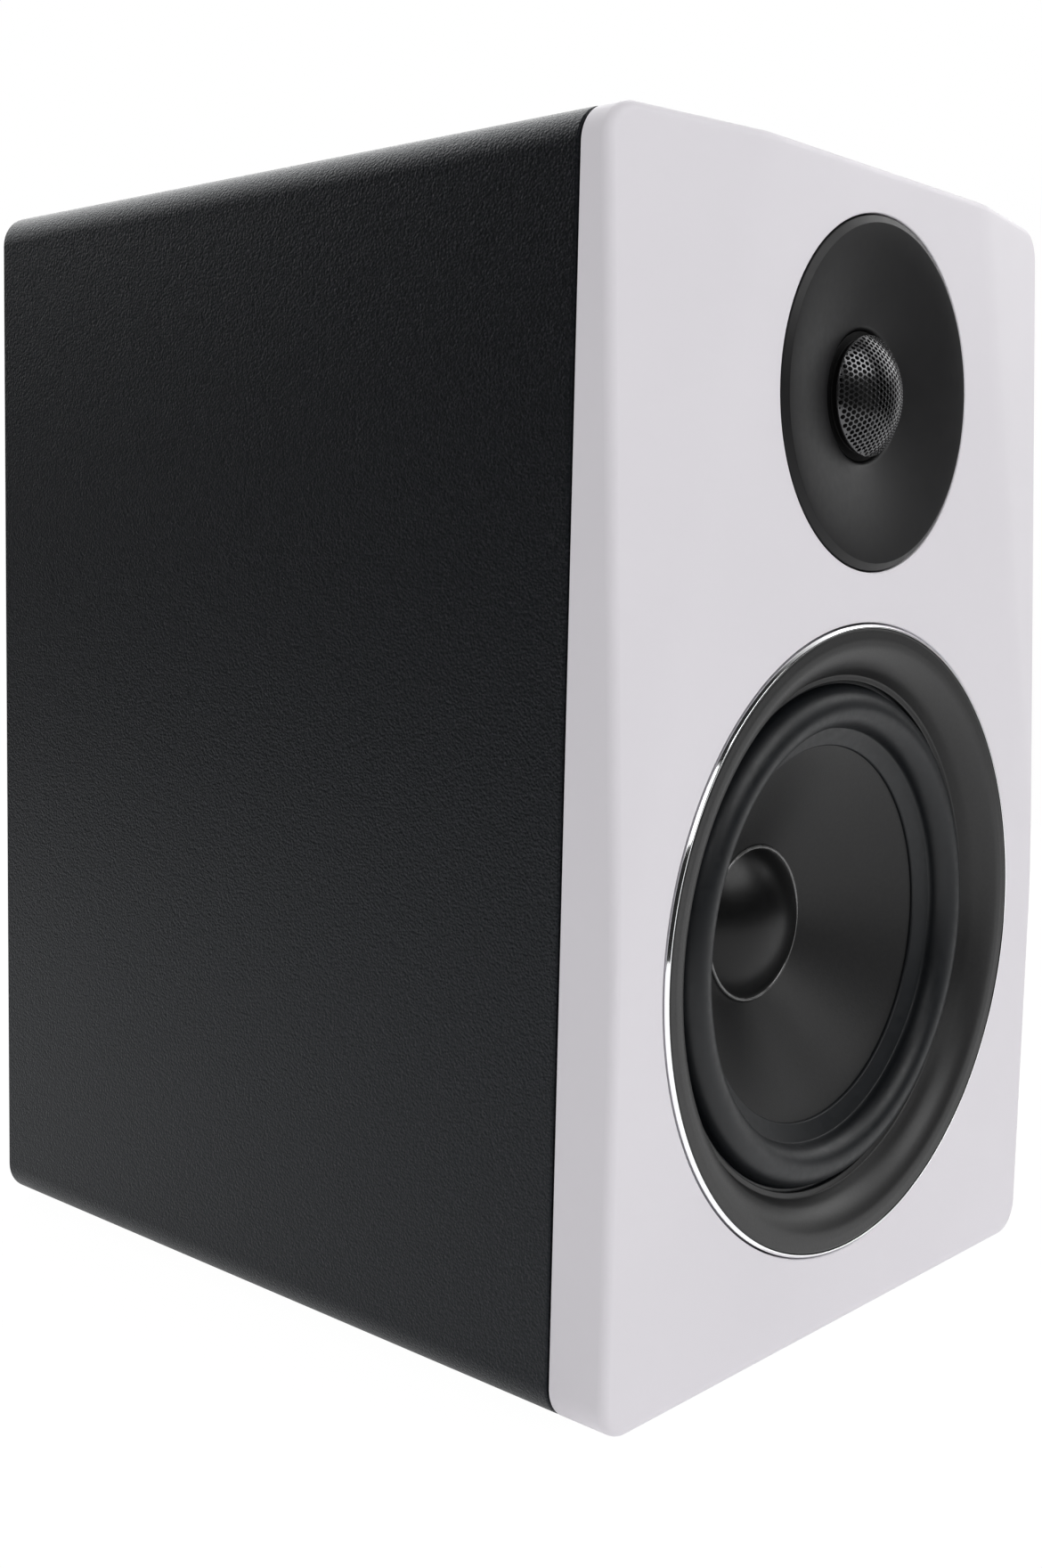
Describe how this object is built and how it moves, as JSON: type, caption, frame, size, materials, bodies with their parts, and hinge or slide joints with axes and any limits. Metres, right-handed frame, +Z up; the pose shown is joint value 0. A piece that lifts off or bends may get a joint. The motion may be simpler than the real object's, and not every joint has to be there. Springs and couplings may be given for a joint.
{
  "type": "bookshelf speaker",
  "caption": "Two-way bookshelf speaker: black box, white front with slanted top corners, dished dome tweeter, large cone woofer with chrome ring, rear port and screw terminals.",
  "frame": {"origin": "on the floor under the middle of the overall box, at the undersides of the feet", "axes": "+Z up, the front faces -Y, +X to the right of someone who looks at the front"},
  "size_m": [0.225, 0.2718, 0.3372],
  "materials": {
    "vinyl": "black fine-grained vinyl wrap",
    "rear_vinyl": "black fine-grained vinyl on board",
    "board_panel": "raw fibreboard",
    "white_gloss": "gloss white lacquer",
    "chrome": "polished",
    "satin_black": "satin black",
    "rubber": "satin rubber",
    "foot_rubber": "matte rubber",
    "cone": "satin black polypropylene",
    "cast_metal": "painted casting",
    "steel": "zinc plated",
    "ferrite": "sintered ferrite",
    "copper": "enamelled copper wire",
    "brass": "gold plated",
    "former": "amber film",
    "spider_cloth": "resin treated cloth",
    "felt": "grey felt",
    "guard_mesh": "black perforated metal",
    "black_plastic": "black moulded plastic",
    "red_plastic": "red moulded plastic",
    "circuit_board": "green solder mask",
    "film_can": "yellow film capacitor",
    "dark_steel": "black oxide"
  },
  "bodies": {
    "cabinet": {"cabinet_shell": "vinyl", "inner_baffle": "board_panel", "front_baffle": "white_gloss", "rear_panel": "rear_vinyl", "window_brace": "board_panel", "damping_pad_left": "felt", "damping_pad_right": "felt", "foot_front_left": "foot_rubber", "foot_front_right": "foot_rubber", "foot_rear_left": "foot_rubber", "foot_rear_right": "foot_rubber", "chrome_ring": "chrome", "woofer_trim_ring": "satin_black", "woofer_basket": "cast_metal", "woofer_surround": "rubber", "woofer_spider": "spider_cloth", "woofer_top_plate": "steel", "woofer_magnet": "ferrite", "woofer_yoke": "steel", "tweeter_waveguide": "satin_black", "tweeter_mesh": "guard_mesh", "tweeter_chassis": "black_plastic", "tweeter_surround": "rubber", "tweeter_top_plate": "steel", "tweeter_magnet": "ferrite", "tweeter_yoke": "steel", "tweeter_rear_cup": "black_plastic", "port_flare": "satin_black", "port_tube": "black_plastic", "terminal_cup": "satin_black", "black_post_stud": "brass", "black_post_washer": "brass", "red_post_stud": "brass", "red_post_washer": "brass", "crossover_board": "circuit_board", "woofer_inductor": "copper", "tweeter_inductor": "copper", "large_capacitor": "film_can", "small_capacitor": "film_can", "woofer_lead": "red_plastic", "tweeter_lead": "black_plastic", "woofer_screw_1": "dark_steel", "terminal_screw_1": "dark_steel", "woofer_screw_2": "dark_steel", "terminal_screw_2": "dark_steel", "woofer_screw_3": "dark_steel", "terminal_screw_3": "dark_steel", "woofer_screw_4": "dark_steel", "terminal_screw_4": "dark_steel", "tweeter_screw_1": "dark_steel", "tweeter_screw_2": "dark_steel", "tweeter_screw_3": "dark_steel"},
    "woofer_diaphragm": {"woofer_cone": "cone", "woofer_dust_cap": "cone", "woofer_coil_former": "former", "woofer_voice_coil": "copper"},
    "tweeter_diaphragm": {"tweeter_dome": "black_plastic", "tweeter_voice_coil": "copper"},
    "black_cap": {"black_post_cap": "black_plastic"},
    "red_cap": {"red_post_cap": "red_plastic"}
  },
  "joints": [
    {"name": "woofer_travel", "type": "slide", "parent": "cabinet", "child": "woofer_diaphragm", "axis": [0, -1, 0], "range_m": [-0.005, 0.005], "stiffness_N_per_m": 1200, "deforming": ["woofer_surround", "woofer_spider"]},
    {"name": "tweeter_travel", "type": "slide", "parent": "cabinet", "child": "tweeter_diaphragm", "axis": [0, -1, 0], "range_m": [-0.0004, 0.0004], "stiffness_N_per_m": 2000, "deforming": ["tweeter_surround"]},
    {"name": "black_cap_turn", "type": "hinge", "parent": "cabinet", "child": "black_cap", "pos_m": [-0.0095, 0.1244, 0.087], "axis": [0, 1, 0], "range_deg": [0, 1800]},
    {"name": "red_cap_turn", "type": "hinge", "parent": "cabinet", "child": "red_cap", "pos_m": [0.0095, 0.1244, 0.087], "axis": [0, 1, 0], "range_deg": [0, 1800]}
  ]
}
